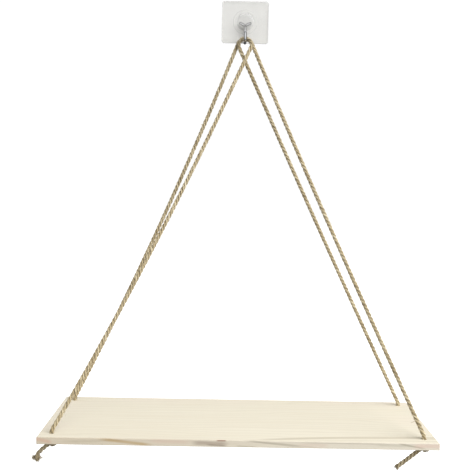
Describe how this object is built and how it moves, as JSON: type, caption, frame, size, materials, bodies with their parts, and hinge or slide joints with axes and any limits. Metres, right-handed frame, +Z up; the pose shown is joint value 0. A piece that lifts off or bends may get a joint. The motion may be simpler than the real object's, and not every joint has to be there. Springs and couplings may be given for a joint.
{
  "type": "hanging rope shelf",
  "caption": "Wooden wall shelf board hung by two knotted jute ropes from a clear adhesive wall hook with a steel J hook.",
  "frame": {"origin": "centre of the adhesive back of the hook's plate, on the wall", "axes": "+Z up, +X to the right seen from the room, +Y into the wall; the room and the board are on the -Y side"},
  "size_m": [0.4532, 0.15, 0.5557],
  "materials": {
    "adhesive_film": "clear adhesive film",
    "clear_plastic": "clear gloss moulding",
    "steel": "polished stainless steel",
    "jute_rope": "three-strand laid jute",
    "wood_board": "pale sanded softwood, unfinished"
  },
  "bodies": {
    "wall_hook": {"adhesive_film": "adhesive_film", "hook_plate": "clear_plastic", "hook_cap": "clear_plastic", "steel_hook": "steel"},
    "rope_saddle": {"outer_rope_turn": "jute_rope", "crossed_rope_turn": "jute_rope"},
    "shelf": {"rope_arm_front_left": "jute_rope", "rope_arm_front_right": "jute_rope", "rope_arm_back_left": "jute_rope", "rope_arm_back_right": "jute_rope", "knot_front_left": "jute_rope", "knot_front_right": "jute_rope", "knot_back_left": "jute_rope", "knot_back_right": "jute_rope", "tail_front_left": "jute_rope", "tail_front_right": "jute_rope", "tail_back_left": "jute_rope", "tail_back_right": "jute_rope", "board": "wood_board"}
  },
  "joints": [
    {"name": "sideways_swing", "type": "hinge", "parent": "wall_hook", "child": "rope_saddle", "pos_m": [0, -0.0156, -0.0274], "axis": [0, 1, 0], "range_deg": [-15, 15]},
    {"name": "outward_swing", "type": "hinge", "parent": "rope_saddle", "child": "shelf", "pos_m": [0, -0.0211, -0.0389], "axis": [-1, 0, 0], "range_deg": [0, 15]}
  ]
}
